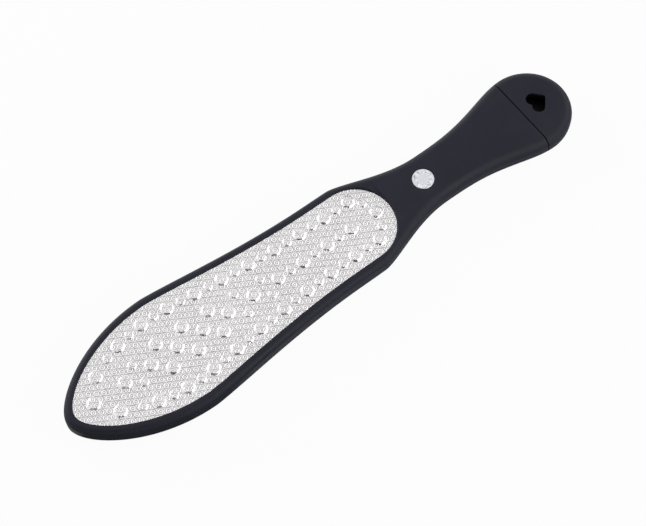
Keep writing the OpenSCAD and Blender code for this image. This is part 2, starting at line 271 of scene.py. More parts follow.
def seam_inset(x, seam):
    """How far the rounded edge beside the joint line is drawn in: a quarter circle of seam_round."""
    near = np.clip(1 - np.abs(x - seam) / seam_round, 0, 1)
    return seam_round * (1 - np.sqrt(1 - near ** 2))


def side_normals(path, seam):
    """Outward normals that turn straight across the file near the joint line, to keep its edge in line."""
    normals = outward(path, False)
    normals[:, 0] *= smooth(np.abs(path[:, 0] - seam) / straight_run)
    normals[[0, -1], 1] = np.sign(path[[0, -1], 1])
    return normals


def half_levels(path, seam, face, towards):
    """Levels of one half of the body from mid height to its face: a wall and the rounded edge."""
    x = path[:, 0]
    normals = side_normals(path, seam)
    drawn = seam_inset(x, seam)
    radius = edge_r(x)
    levels = [level(path, normals, drawn + radius * (1 - np.cos(a)),
                    face - towards * (radius * (1 - np.sin(a)) + drawn)) for a in edge_turns]
    return [level(path, normals, drawn, mix(part_z, levels[0][:, 2], 0.5))] + levels


shell_side = cut_side(shell_end, 1)
shell_path = np.concatenate([shell_side[:0:-1] * [1, -1], shell_side[1:]])
shell_drawn = seam_inset(shell_path[:, 0], shell_end)
shell_normals = side_normals(shell_path, shell_end)


def half_shell(name, face, towards):
    """One half of the body as a solid, from the parting line to its face."""
    lip = [level(shell_path, shell_normals, shell_drawn + inset, part_z + towards * rise)
           for inset, rise in ((part_round, 0), (0, part_round))]
    return cut_shell(name, lip + half_levels(shell_path, shell_end, face, towards))


def closed_path(side, count):
    """The closed, clockwise outline of a piece from its one side, at even steps from the toe."""
    return even(np.concatenate([side, side[-2::-1] * [1, -1]]), count + 1)[:-1]


back_plate_low, back_plate_high = extent("back_file_plate")
plate_t = back_plate_high[2] - back_plate_low[2]
plate_drop = back_plate_low[2]
front_plate_z = extent("front_file_plate")[0][2] + plate_t
toe_rim_w = back_plate_low[0] - toe_x
rim_w = (paddle_w - (back_plate_high[1] - back_plate_low[1])) / 2
plate_heel_r = back_plate_high[0] - toe_x - paddle_len
plate_gap = 0.15
plate_mouth_r = 0.45
rivet_mouth_r = 0.2
mouth_turns = np.radians([0, 22.5, 45, 67.5, 90])
seat_depth = plate_drop + plate_t + extent("back_plate_tape")[1][2] - back_plate_high[2]
heel_turn = np.linspace(0, math.pi / 2, 200)
plate_side = np.concatenate([
    paddle_side(toe_rim_w, rim_w),
    np.stack([paddle_len + plate_heel_r * np.sin(heel_turn), plate_heel_r * np.cos(heel_turn)], 1)])
plate_path = closed_path(plate_side, 520)
plate_normals = outward(plate_path, True)
over = 1  # How far a cutter stands out of what it cuts.


def recess(name, path, gap, mouth_r, floor, face, towards, turns=mouth_turns):
    """A cutter for a recess: straight walls with a gap round the piece, and a mouth rounded by a quarter
    circle of radius mouth_r. face is the height of the cut face, or a function of x that gives it."""
    normals = outward(path, True)
    mouth = face(path[:, 0]) if callable(face) else face
    clear = (handle_t if towards > 0 else 0) + towards * over
    levels = [level(path, normals, -gap, floor)]
    for a in turns:
        spread = mouth_r * (1 - math.cos(a))
        levels.append(level(path, normals, -gap - spread, mouth - towards * mouth_r * (1 - math.sin(a))))
    return prism(name, levels + [level(path, normals, -gap - mouth_r, clear)])


rivet_low, rivet_high = extent("neck_rivet_front")
rivet_at = (rivet_low[0] + rivet_high[0]) / 2 - toe_x
rivet_r = (rivet_high[0] - rivet_low[0]) / 2
rivet_drop = handle_t - rivet_high[2]
rivet_head_t = 1.2
rivet_gap = 0.15
rivet_floor = rivet_drop + rivet_head_t
round_turn = np.linspace(0, -2 * math.pi, 97)[:-1]
rivet_path = np.stack([rivet_at + rivet_r * np.cos(round_turn), rivet_r * np.sin(round_turn)], 1)

inside_path = closed_path(whole_side, 240)
inside_normals = outward(inside_path, True)
skin_kept = 1.2
wall_t = 1.8
rise_lag = 24  # How far behind the front face's rise the ceiling of the hollow rises.


def hollow(node, z_from, z_to):
    """The hollows of a CAD node that lie inside its skin, as a cutter: ribs, bosses and bores stay."""
    levels = [level(inside_path, inside_normals, skin_kept, z) for z in (z_from, z_to)]
    return carve(prism(node + "_hollow", levels), node_copy(node))


moulded_front = half_shell("moulded_front_shell", body_top(shell_path[:, 0]), 1)
moulded_back = half_shell("moulded_back_shell", 0, -1)
for shell, side, plate_bed, rivet_bed, face, crown, towards in (
        (moulded_front, "front", paddle_t - seat_depth, handle_t - rivet_floor, body_top, handle_t, 1),
        (moulded_back, "back", seat_depth, rivet_floor, 0, 0, -1)):
    carve(shell, recess(side + "_plate_bed", plate_path, plate_gap, plate_mouth_r, plate_bed, face, towards))
    carve(shell, recess(side + "_rivet_bed", rivet_path, rivet_gap, rivet_mouth_r, rivet_bed, crown, towards))
carve(moulded_front, hollow("front_shell", part_z - over, body_top(inside_path[:, 0] - rise_lag) - wall_t))
carve(moulded_back, hollow("back_shell", wall_t, part_z + over))


class Value:
    """A socket of a material that can stand in a sum: every operator adds its Math node."""

    def __init__(self, graph, socket):
        self.graph = graph
        self.socket = socket

    def __add__(self, other):
        return self.graph.maths("ADD", self, other)

    def __sub__(self, other):
        return self.graph.maths("SUBTRACT", self, other)

    def __rsub__(self, other):
        return self.graph.maths("SUBTRACT", other, self)

    def __mul__(self, other):
        return self.graph.maths("MULTIPLY", self, other)

    def __pow__(self, other):
        return self.graph.maths("POWER", self, other)

    __radd__ = __add__
    __rmul__ = __mul__


class Graph:
    """The nodes of one material, round its Principled shader, or of the world, round its background."""

    def __init__(self, holder, shader="Principled BSDF"):
        holder.use_nodes = True
        self.holder = holder
        self.tree = holder.node_tree
        self.shader = self.tree.nodes[shader]

    def put(self, socket, value):
        """Links a Value to a socket, or sets a number or colour on it."""
        if isinstance(value, Value):
            self.tree.links.new(value.socket, socket)
        else:
            socket.default_value = value

    def node(self, kind, settings, inputs, output=0):
        """Any node: its settings first, then its sockets by name or place, and the output that is wanted."""
        made = self.tree.nodes.new("ShaderNode" + kind)
        for name, setting in settings.items():
            setattr(made, name, setting)
        for name, value in inputs.items():
            self.put(made.inputs[name], value)
        return Value(self, made.outputs[output])

    def maths(self, operation, first, second):
        """One sum of two values."""
        return self.node("Math", {"operation": operation}, {0: first, 1: second})

    def place(self):
        """Object coordinates in millimetres."""
        at = self.node("TexCoord", {}, {}, "Object")
        return self.node("VectorMath", {"operation": "SCALE"}, {0: at, "Scale": 1 / MM})

    def flat(self, at):
        """The same place with its height left out."""
        return self.node("VectorMath", {"operation": "MULTIPLY"}, {0: at, 1: (1.0, 1.0, 0.0)})

    def noise(self, at, scale, detail=2.0, roughness=0.5):
        """Soft clouds or fine grain, by the scale, about 0.5."""
        return self.node("TexNoise", {}, {"Vector": at, "Scale": scale, "Detail": detail,
                                          "Roughness": roughness})

    def cells(self, at, scale, feature="F1"):
        """Distance to the middle, or by another feature to the edge, of the nearest of many random cells."""
        return self.node("TexVoronoi", {"feature": feature}, {"Vector": at, "Scale": scale}, "Distance")

    def ramp(self, value, low, high, to_low=0.0, to_high=1.0):
        """The value carried from low..high to to_low..to_high, with eased ends."""
        return self.node("MapRange", {"interpolation_type": "SMOOTHSTEP"},
                         {0: value, 1: low, 2: high, 3: to_low, 4: to_high})

    def blend(self, share, a, b):
        """Colour a at share 0 and colour b at share 1."""
        return self.node("Mix", {"data_type": "RGBA"}, {0: share, 6: a, 7: b}, 2)

    def bump(self, height, depth, under=None):
        """A normal bent by a height of 0 to 1 that is depth millimetres deep."""
        inputs = {"Height": height, "Distance": depth * MM, "Strength": 1.0}
        if under is not None:
            inputs["Normal"] = under
        return self.node("Bump", {}, inputs)

    def finish(self, **sockets):
        """Sets the shader's sockets by name, with spaces written as underscores."""
        for name, value in sockets.items():
            self.put(self.shader.inputs[name.replace("_", " ")], value)
        return self.holder


def colour(red, green, blue):
    return (red, green, blue, 1.0)


seam_middle = shell_end + seam_gap / 2
seam_dark, seam_fades = 0.16, 0.42


def joint_painted_shade(graph, at):
    """Painted shade in the joint line across the butt: 1 between its two faces, fading to 0 on the body
    beside it.
    """
    x = graph.node("SeparateXYZ", {}, {0: at}, "X")
    from_seam = graph.maths("ABSOLUTE", x - (seam_middle + toe_x), 0.0)
    return graph.ramp(from_seam, seam_dark, seam_fades, 1.0, 0.0)


def soft_touch_plastic(name, painted_shade_place):
    """Blue-black moulded plastic with a rubbery skin: fine grain, faint cloudiness and a few specks of dust.
    It carries painted shade, near black, in the gaps and hollows that its mask picks out."""
    graph = Graph(bpy.data.materials.new(name))
    at = graph.place()
    cloud = graph.ramp(graph.noise(at, 0.06, 3.0), 0.3, 0.7)
    grain = graph.noise(at, 5.0, 3.0, 0.6)
    pores = graph.cells(at, 2.6)
    speck = graph.ramp(graph.cells(at, 0.16), 0.012, 0.02, 1.0, 0.0)
    body = graph.blend(cloud, colour(0.009, 0.0099, 0.0164), colour(0.0118, 0.0127, 0.0198))
    body = graph.blend(speck * 0.35, body, colour(0.16, 0.16, 0.16))
    # Painted shade: near black in the gaps and hollows that the mask picks out.
    body = graph.blend(painted_shade_place(graph, at), body, colour(0.0015, 0.0015, 0.0018))
    normal = graph.bump(grain, 0.008, graph.bump(pores, 0.005))
    return graph.finish(Base_Color=body, Roughness=0.42 + 0.1 * cloud + 0.08 * grain, Normal=normal, IOR=1.28)


body_sharp_over = 14
shell_plastic = soft_touch_plastic("soft_touch_plastic", joint_painted_shade)
for shell, node in ((moulded_front, "front_shell"), (moulded_back, "back_shell")):
    finish_piece(shell, shell_plastic, body_sharp_over)
    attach(shell, "root")
    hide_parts(node)


# The end cap: a separate moulding in the same plastic, behind a thin joint line across the butt. Its spigot
# goes into the handle, and a heart-shaped window opens its front wall into the hollow behind, in painted
# shade.
seam_at = shell_end + seam_gap
heart_len = 8.4
heart_w = 10.4
heart_at = length - 14.8
heart_lobe_share = 0.56
heart_tip_r = 1.3
heart_round = 0.45

cap_side = cut_side(seam_at, -1)
cap_path = np.concatenate([cap_side[:-1], cap_side[-2::-1] * [1, -1]])
cap_top = body_top(cap_path[:, 0])
cap_levels = half_levels(cap_path, seam_at, 0, -1)[::-1] + half_levels(cap_path, seam_at, cap_top, 1)
moulded_cap = cut_shell("moulded_end_cap", cap_levels)


def heart_outline(count):
    """Two round lobes towards the paddle and a small round point at the butt, joined by straight flanks that
    touch both."""
    lobe_r = heart_w * heart_lobe_share / 2
    lobe_y = heart_w / 2 - lobe_r
    lobe_x = lobe_r - heart_len / 2
    tip_x = heart_len / 2 - heart_tip_r
    apart = math.hypot(tip_x - lobe_x, lobe_y)
    lean = math.acos((lobe_r - heart_tip_r) / apart) - math.atan2(lobe_y, tip_x - lobe_x)
    notch = math.pi + math.asin(lobe_y / lobe_r)
    lobe_turn = np.linspace(notch, lean, 60)
    tip_turn = np.linspace(lean, 0, 20)
    half = np.concatenate([
        np.stack([lobe_x + lobe_r * np.cos(lobe_turn), lobe_y + lobe_r * np.sin(lobe_turn)], 1),
        np.stack([tip_x + heart_tip_r * np.cos(tip_turn), heart_tip_r * np.sin(tip_turn)], 1)])
    return closed_path(half + [heart_at, 0], count)


heart_path = heart_outline(96)
heart_turns = np.radians([0, 18, 36, 54, 72, 90])

carve(moulded_cap, hollow("end_cap", over, handle_t - over))
spigot = prism("spigot", [level(inside_path, inside_normals, skin_kept, z) for z in (over, handle_t - over)])
carve(spigot, node_copy("end_cap"), "INTERSECT")
behind_seam = [[x, y, z] for x in (seam_at + seam_round, length + over)
               for y in (-paddle_w, paddle_w) for z in (-over, 2 * handle_t)]
block_faces = [[0, 1, 3, 2], [4, 6, 7, 5], [0, 4, 5, 1], [2, 3, 7, 6], [0, 2, 6, 4], [1, 5, 7, 3]]
carve(spigot, mesh_piece("behind_seam", behind_seam, block_faces))
carve(moulded_cap, spigot, "UNION")
carve(moulded_cap, recess("heart_window", heart_path, 0, heart_round, handle_t / 2, handle_t, 1, heart_turns))


def cap_painted_shade(graph, at):
    """Where painted shade darkens the cap: 1 on the walls of the window, the hollow and the joint line, and 0
    on the cap's outside: inside an ellipse a little smaller than the butt, below the front face and above the
    back."""
    x, y, z = (graph.node("SeparateXYZ", {}, {0: at}, axis) for axis in "XYZ")
    away = ((x - (butt_at + toe_x)) * (1 / (length - butt_at))) ** 2 + (y * (2 / butt_w)) ** 2
    within = graph.ramp(away, 0.66, 0.7, 1.0, 0.0)
    below = graph.ramp(z, handle_t - 1.6, handle_t - 0.35, 1.0, 0.0)
    above = graph.ramp(z, 0.4, 0.8)
    return graph.maths("MAXIMUM", within * below * above, joint_painted_shade(graph, at))


finish_piece(moulded_cap, soft_touch_plastic("soft_touch_cap_plastic", cap_painted_shade), body_sharp_over)
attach(moulded_cap, "root")
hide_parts("end_cap")


# The mounting tapes: off-white double-sided foam, die-cut a little smaller than the plates that they hold.
# One lies on the floor of each seat, so they are seen only when the file is taken apart.
def foam_tape():
    """Matte foam with fine open cells and a slightly glossy glue skin."""
    graph = Graph(bpy.data.materials.new("foam_tape"))
    at = graph.place()
    cells = graph.cells(at, 4.0, "DISTANCE_TO_EDGE")
    stain = graph.noise(at, 0.2, 2.0)
    tone = graph.blend(stain, colour(0.80, 0.78, 0.71), colour(0.70, 0.67, 0.58))
    return graph.finish(Base_Color=tone, Roughness=0.55 + 0.3 * stain, Normal=graph.bump(cells, 0.05))


foam = foam_tape()
for node in ("front_plate_tape", "back_plate_tape"):
    dress(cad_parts[node], foam)


# The front file plate: 0.5 mm stainless sheet, blanked to the paddle's outline and set 0.2 mm below the rim.
# Domes are pressed up from behind in rows, and rings with a dot in the middle are etched all over its face.
dome_top_share = 0.7
large_dome = (3.1, 0.6)
small_dome = (2.1, 0.45)
dome_pitch = 13
toe_dome_at = 13.5
first_row_at = 28.8
dome_margin = 6.6
outer_row_from = 11.5
toe_pair_share = 0.45
heel_pair_angle = 38
inner_shares = (0.21, 0.27, 0.27, 0.26, 0.26, 0.23)
inner_domes = (small_dome, large_dome, large_dome, large_dome, small_dome, small_dome)
row_n = int((paddle_len - first_row_at) / dome_pitch) + 1
heel_row_r = plate_heel_r - dome_margin


def outer_y(x):
    """Half the distance between the two outer rows of domes."""
    return float(paddle_half_width(np.array(x), outer_row_from, rim_w + dome_margin))


def dome_places():
    """Every dome as x, y, radius and height: one in the toe, rows of three, and pairs halfway between."""
    toe_pair_at = mix(toe_dome_at, first_row_at, toe_pair_share)
    lean = math.radians(heel_pair_angle)
    rows = first_row_at + dome_pitch * np.arange(row_n)
    singles = [(toe_dome_at, large_dome), (paddle_len + heel_row_r, large_dome)]
    singles += [(x, large_dome) for x in rows]
    singles += [(x + dome_pitch / 2, small_dome) for x in rows[len(inner_shares):-1]]
    pairs = [(toe_pair_at, outer_y(toe_pair_at), large_dome)]
    pairs += [(paddle_len + heel_row_r * math.cos(lean), heel_row_r * math.sin(lean), small_dome)]
    for x in rows:
        pairs += [(x, outer_y(x), small_dome), (x + dome_pitch / 2, outer_y(x + dome_pitch / 2), large_dome)]
    for x, share, dome in zip(rows + dome_pitch / 2, inner_shares, inner_domes):
        pairs += [(x, share * float(paddle_half_width(x, toe_rim_w, rim_w)), dome)]
    places = [(x, 0, *dome) for x, dome in singles]
    return np.array(places + [(x, side * y, *dome) for x, y, dome in pairs for side in (1, -1)])


domes = dome_places()


def dome_shares(at):
    """How far each point is from the middle of every dome, as a share of the dome's radius."""
    return np.hypot(at[:, None, 0] - domes[:, 0], at[:, None, 1] - domes[:, 1]) / domes[:, 2]


def dome_rise(share, height):
    """A flat top and an eased flank down to the radius."""
    return height * smooth((1 - share) / (1 - dome_top_share))


def front_face(at):
    """Height of the front sheet's face, domes and all."""
    return front_plate_z + dome_rise(dome_shares(at), domes[:, 3]).max(1)


def front_polish_and_highlight(at):
    """How polished the sheet is, with a painted highlight to match: most on the flanks of the domes, not at
    all on their tops and between.
    """
    share = dome_shares(at).min(1)
    return 0.75 * smooth((share - dome_top_share) / 0.08) * smooth((1 - share) / 0.1)


def turned_solids(name, places, profile, steps, z_base):
    """Many closed round solids in one mesh. places holds x, y, radius and height. profile holds, from the
    bottom up, a share of the radius, a share of the height and a plain rise in millimetres."""
    around = np.linspace(0, 2 * math.pi, steps, endpoint=False)
    turn = np.stack([np.cos(around), np.sin(around)], 1)
    share, lift, plain = np.array(profile).T
    flat = places[:, None, None, :2] + (places[:, 2:3] * share)[..., None, None] * turn
    z = np.broadcast_to((z_base + places[:, 3:] * lift + plain)[..., None, None], flat.shape[:3] + (1,))
    points = np.concatenate([flat, z], -1).reshape(-1, 3)
    one = np.array(grid_faces(len(profile), steps, True))
    starts = np.arange(len(places))[:, None] * len(profile) * steps
    faces = (one + starts[..., None]).reshape(-1, 4).tolist()
    lid = np.arange(steps)
    faces += (lid + starts).tolist() + (lid + starts + (len(profile) - 1) * steps).tolist()
    return mesh_piece(name, points, faces)


def ring_teeth(name, centres, base, ring, dot_r, towards):
    """Etched teeth: at each centre a low ring with sloping sides and a dot, all closed solids that are rooted
    inside the sheet. base gives the face's height at any points, and towards is the side they stand on."""
    crest_r, crest_w, foot_w, height, steps = ring
    sink = 0.05
    root = 0.25
    around = np.linspace(0, 2 * math.pi, steps, endpoint=False)
    turn = np.stack([np.cos(around), np.sin(around)], 1)
    outer, inner = crest_r + foot_w / 2, crest_r - foot_w / 2
    radii = np.array([outer, outer, crest_r + crest_w / 2, crest_r - crest_w / 2, inner, inner,
                      dot_r, dot_r, dot_r / 2])
    lifts = np.array([-root, -sink, height, height, -sink, -root, -root, -sink, height])
    flat = (centres[:, None, None] + radii[:, None, None] * turn).reshape(-1, 2)
    z = base(flat) + towards * np.tile(np.repeat(lifts, steps), len(centres))
    i = np.arange(steps)
    after = np.roll(i, -1)
    quads = [np.stack([a * steps + i, a * steps + after, b * steps + after, b * steps + i], 1)
             for a, b in ((0, 1), (1, 2), (2, 3), (3, 4), (4, 5), (5, 0), (6, 7), (7, 8))]
    starts = np.arange(len(centres))[:, None] * len(radii) * steps
    faces = (np.concatenate(quads) + starts[..., None]).reshape(-1, 4).tolist()
    for lid_row in (6, 8):
        faces += (i + lid_row * steps + starts).tolist()
    return mesh_piece(name, np.column_stack([flat, z]), faces)


def lattice(pitch, margin):
    """Centres on a triangular lattice with neighbours across the file, as far as the plate reaches."""
    x = np.arange(0, paddle_len + plate_heel_r, pitch * math.sin(math.pi / 3))
    y = np.arange(-int(paddle_w / 2 / pitch) - 1, int(paddle_w / 2 / pitch) + 2) * pitch
    at_x, at_y = np.meshgrid(x, y, indexing="ij")
    at_y = at_y + (np.arange(len(x)) % 2)[:, None] * pitch / 2
    half = np.interp(x, plate_side[:, 0], plate_side[:, 1], left=-pitch, right=-pitch)[:, None]
    held = np.abs(at_y) < half + margin
    return np.stack([at_x[held], at_y[held]], 1)


blank_inset = 0.08


def blank(name, z_from, z_to):
    """The plate's outline as a cutter, a hair inside its edge."""
    return prism(name, [level(plate_path, plate_normals, blank_inset, z) for z in (z_from, z_to)])


ring_shade_shares = (0.56, 1.39)


def etched_steel(name, pitch, crest_r, scale):
    """Stainless sheet: a matte floor where the etch has eaten in, painted shade in a thin line on each side
    of a ring, and bright crests that the etch left; the same bright tone is a painted highlight on the domes'
    flanks.
    Fine rolling lines run along the sheet, and faint stains cloud it."""
    graph = Graph(bpy.data.materials.new(name))
    at = graph.place()
    flat = graph.flat(at)
    row = pitch * math.sin(math.pi / 3)
    away = []
    for first in ((toe_x, 0.0, 0.0), (toe_x + row, pitch / 2, 0.0)):
        moved = graph.node("VectorMath", {"operation": "SUBTRACT"}, {0: flat, 1: first})
        nearest = graph.node("VectorMath", {"operation": "WRAP"},
                             {0: moved, 1: (row, pitch / 2, 1.0), 2: (-row, -pitch / 2, -1.0)})
        away.append(graph.node("VectorMath", {"operation": "LENGTH"}, {0: nearest}, "Value"))
    from_centre = graph.maths("MINIMUM", *away)
    ring_side_shade = sum(graph.ramp(graph.maths("ABSOLUTE", from_centre - share * crest_r, 0.0),
                            0.08 * crest_r, 0.28 * crest_r, 1.0, 0.0) for share in ring_shade_shares)
    crest = graph.node("Attribute", {"attribute_name": "crest"}, {}, "Fac")
    along = graph.node("Mapping", {}, {"Vector": at, "Scale": (0.08, 2.2, 1.0)})
    lines = graph.noise(along, 3.0, 3.0, 0.6)
    mottle = graph.noise(at, scale, 3.0, 0.6)
    stain = graph.ramp(graph.noise(at, 0.05, 3.0), 0.35, 0.65)
    floor = graph.blend(stain, colour(0.85, 0.835, 0.84), colour(0.91, 0.895, 0.90))
    floor = graph.blend(graph.ramp(mottle, 0.35, 0.7) * 0.3, floor, colour(0.50, 0.49, 0.495))
    shade_patches = graph.ramp(graph.noise(at, scale / 3, 2.0, 0.7), 0.3, 0.7, 0.45, 1.0)
    # Painted shade: a thin dark line on each side of every ring, made patchy by noise.
    floor = graph.blend(ring_side_shade * shade_patches, floor, colour(0.26, 0.252, 0.256))
    # The crest share also brings a painted highlight to the flanks of the domes.
    tone = graph.blend(crest, floor, colour(0.92, 0.91, 0.915))
    normal = graph.bump(mottle, 0.006, graph.bump(lines, 0.003))
    rough = (1 - crest) * (0.16 + 0.12 * mottle) + 0.14 + 0.05 * lines
    return graph.finish(Base_Color=tone, Metallic=1.0, Roughness=rough, Normal=normal)


def mark_crests(piece, base, height, polish_and_highlight):
    """Keeps on every vertex how bright it is: 0 on the sheet's face and 1 on a crest or a sheared edge,
    which stand above or below it, or, where that is more, how polished it is, with a painted highlight to
    match."""
    points = np.empty(3 * len(piece.data.vertices))
    piece.data.vertices.foreach_get("co", points)
    points = points.reshape(-1, 3) / MM - [toe_x, 0, 0]
    share = np.clip(np.abs(points[:, 2] - base(points[:, :2])) / height, 0, 1)
    share = np.maximum(share, polish_and_highlight(points[:, :2]))
    piece.data.attributes.new("crest", "FLOAT", "POINT").data.foreach_set("value", share)


sheet_edge = 0.12
foot_lip = 0.004
flank_shares = np.array([1, 0.94, 0.88, 0.82, 0.76, dome_top_share, 0.64])
flank_lifts = dome_rise(flank_shares, 1)
pressed = [(1.1, 0, -0.1), (1.1, 0, foot_lip)] + [(s, h, foot_lip) for s, h in zip(flank_shares, flank_lifts)]
dimple = [(1, 0, -over)] + [(s, h, 0) for s, h in zip(flank_shares[::2], flank_lifts[::2])]
front_pitch = 3.19
front_ring = (0.98, 0.26, 0.62, 0.038, 12)  # Radius and width of the crest, width of the foot, height, sides.

etched_front = prism("etched_front_plate", [
    level(plate_path, plate_normals, inset, front_plate_z - down)
    for inset, down in ((0, plate_t), (0, sheet_edge), (sheet_edge, 0))])
carve(etched_front, turned_solids("pressed_domes", domes, pressed, 28, front_plate_z), "UNION")
carve(etched_front, turned_solids("dimples", domes, dimple, 16, front_plate_z - plate_t))
front_teeth = ring_teeth("front_teeth", lattice(front_pitch, 0.4), front_face, front_ring, 0.32, 1)
carve(front_teeth, blank("front_blank", front_plate_z - plate_t, handle_t + over), "INTERSECT")
carve(etched_front, front_teeth, "UNION")
mark_crests(etched_front, front_face, front_ring[3], front_polish_and_highlight)
plate_sharp_over = 25
finish_piece(etched_front, etched_steel("etched_steel", front_pitch, front_ring[0], 2.4), plate_sharp_over)
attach(etched_front, "root")
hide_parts("front_file_plate")


# The back file plate: the finer side, in the same stainless sheet and to the same outline, with small etched
# rings close together and no domes. Its tape holds it in the back shell's seat, over the four screws.
def back_face(at):
    """Height of the back sheet's face: level all over."""
    return np.full(len(at), plate_drop)


back_pitch = 2.3
back_ring = (0.7, 0.16, 0.44, 0.05, 10)
etched_back = prism("etched_back_plate", [
    level(plate_path, plate_normals, inset, plate_drop + up)
    for inset, up in ((sheet_edge, 0), (0, sheet_edge), (0, plate_t))])
back_teeth = ring_teeth("back_teeth", lattice(back_pitch, 0.2), back_face, back_ring, 0.22, -1)
carve(back_teeth, blank("back_blank", -over, plate_drop + plate_t), "INTERSECT")
carve(etched_back, back_teeth, "UNION")
mark_crests(etched_back, back_face, back_ring[3], lambda at: 0)
finish_piece(etched_back, etched_steel("etched_fine_steel", back_pitch, back_ring[0], 3.4), plate_sharp_over)
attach(etched_back, "root")
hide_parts("back_file_plate")


# The neck rivet: two turned aluminium halves. The front half has a pin, the back half the sleeve that grips
# it. Each head lies flush in the neck and has a ring of small struck marks near its rim.
pin_r = 2
sleeve_r = 3
pin_play = 0.05
stem_play = 0.5
stem_len = handle_t - 2 * rivet_floor - stem_play
mark_n = 22
rivet_sharp_over = 30


def head_face(away, turn):
    """Depth of a head's face below its crown: a slight dish, struck marks of uneven length, a chamfer."""
    share = away / rivet_r
    dish = 0.03 * smooth((share - 0.5) / 0.15) * (1 - smooth((share - 0.86) / 0.05))
    phase = turn * mark_n / (2 * math.pi)
    wedge = np.abs(phase - np.round(phase)) * 2
    uneven = 0.5 + 0.5 * np.sin(2.3 * np.round(phase) ** 2)
    mark = (1 - smooth((wedge - 0.15) / 0.35)) * smooth((share - 0.56 - 0.12 * uneven) / 0.05)
    mark = mark * (1 - smooth((share - 0.72 - 0.08 * uneven) / 0.05))
    return dish + 0.1 * uneven * mark + 0.22 * np.clip((share - 0.955) / 0.045, 0, 1)


def turned_rivet(name, stem, towards, z_face):
    """A round solid: the head's face on a fine polar grid, then the profile of its rim and stem."""
    steps = 176
    around = np.linspace(0, 2 * math.pi, steps, endpoint=False)
    reach = np.concatenate([np.linspace(0.1, 0.5, 5), np.linspace(0.52, 1, 25)]) * rivet_r
    away, turn = np.meshgrid(reach, around, indexing="ij")
    depth = head_face(away, turn)
    radii = np.concatenate([away, np.repeat(np.array(stem)[:, :1], steps, 1)])
    depths = np.concatenate([depth, np.repeat(np.array(stem)[:, 1:], steps, 1)])
    turns = np.broadcast_to(around, radii.shape)
    x = rivet_at + radii * np.cos(turns)
    points = np.stack([x, radii * np.sin(turns), z_face - towards * depths], -1)
    rows = len(radii)
    grid = points.reshape(-1, 3)
    ends = [[rivet_at, 0, z_face], [rivet_at, 0, z_face - towards * stem[-1][1]]]
    last = (rows - 1) * steps
    i = np.arange(steps)
    fans = np.concatenate([np.stack([i, np.roll(i, -1), np.full(steps, len(grid))], 1),
                           np.stack([last + i, last + np.roll(i, -1), np.full(steps, len(grid) + 1)], 1)])
    return mesh_piece(name, np.concatenate([grid, ends]), grid_faces(rows, steps, True) + fans.tolist())


def turned_metal():
    """Bright turned aluminium: fine rings from the lathe, soft clouding, and dull and bright flecks where it
    was struck."""
    graph = Graph(bpy.data.materials.new("turned_metal"))
    at = graph.place()
    flat = graph.flat(at)
    axis = (rivet_at + toe_x, 0, 0)
    from_axis = graph.node("VectorMath", {"operation": "DISTANCE"}, {0: flat, 1: axis}, "Value")
    rings = graph.node("Math", {"operation": "SINE"}, {0: from_axis * 60.0})
    cloud = graph.noise(at, 0.9, 3.0)
    struck = graph.ramp(from_axis, 0.45 * rivet_r, 0.6 * rivet_r)
    struck = struck * graph.ramp(from_axis, 0.84 * rivet_r, 0.9 * rivet_r, 1.0, 0.0)
    fleck = graph.noise(at, 1.5, 2.0, 0.6)
    tone = graph.blend(cloud, colour(0.64, 0.645, 0.69), colour(0.72, 0.725, 0.77))
    tone = graph.blend(struck * graph.ramp(fleck, 0.54, 0.62), tone, colour(0.30, 0.30, 0.32))
    tone = graph.blend(struck * graph.ramp(fleck, 0.38, 0.46, 1.0, 0.0), tone, colour(0.92, 0.92, 0.95))
    return graph.finish(Base_Color=tone, Metallic=1.0, Roughness=0.22 + 0.14 * cloud,
                        Normal=graph.bump(rings * 0.5 + 0.5, 0.002, graph.bump(cloud, 0.02)))


rivet_metal = turned_metal()
stem_end = rivet_head_t + stem_len
bore_r = pin_r + pin_play
pin_stem = [(rivet_r, rivet_head_t), (pin_r, rivet_head_t), (pin_r, stem_end)]
sleeve_stem = [(rivet_r, rivet_head_t), (sleeve_r, rivet_head_t), (sleeve_r, stem_end),
               (bore_r, stem_end), (bore_r, rivet_head_t)]
for name, stem, towards, z_face, node in (
        ("turned_rivet_front", pin_stem, 1, handle_t - rivet_drop, "neck_rivet_front"),
        ("turned_rivet_back", sleeve_stem, -1, rivet_drop, "neck_rivet_back")):
    rivet = turned_rivet(name, stem, towards, z_face)
    finish_piece(rivet, rivet_metal, rivet_sharp_over)
    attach(rivet, "root")
    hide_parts(node)


# The paddle screws: four small self-tapping screws in zinc-plated steel, which hold the two shells together.
# They are driven from the back and hidden under the back plate.
def plated_steel():
    """Grey zinc plate with a fine crystalline bloom."""
    graph = Graph(bpy.data.materials.new("plated_steel"))
    at = graph.place()
    bloom = graph.cells(at, 3.0)
    tone = graph.blend(bloom, colour(0.34, 0.35, 0.38), colour(0.46, 0.47, 0.49))
    return graph.finish(Base_Color=tone, Metallic=1.0, Roughness=0.3 + 0.15 * bloom,
                        Normal=graph.bump(bloom, 0.01))


dress(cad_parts["paddle_screws"], plated_steel())


# The studio, in metres: a pale floor, a white surround, three soft lamps, and two fill lamps that aren't
# reflected. Only reflections see a dark wall in front, a white card behind, and a grey card by the toe that
# is a painted shadow on the floor there. The camera stands as the photograph's did.
def seen_by(graph, *kinds):
    """1 for the named kinds of rays, and 0 for the light itself."""
    return sum(graph.node("LightPath", {}, {}, "Is " + kind + " Ray") for kind in kinds)


def card(name, corners, material):
    """One flat quad of the studio, from four corners."""
    mesh = bpy.data.meshes.new(name)
    mesh.from_pydata(corners, [], [[0, 1, 2, 3]])
    mesh.materials.append(material)
    piece = bpy.data.objects.new(name, mesh)
    bpy.context.scene.collection.objects.link(piece)
    return piece


floor_z = -0.0003


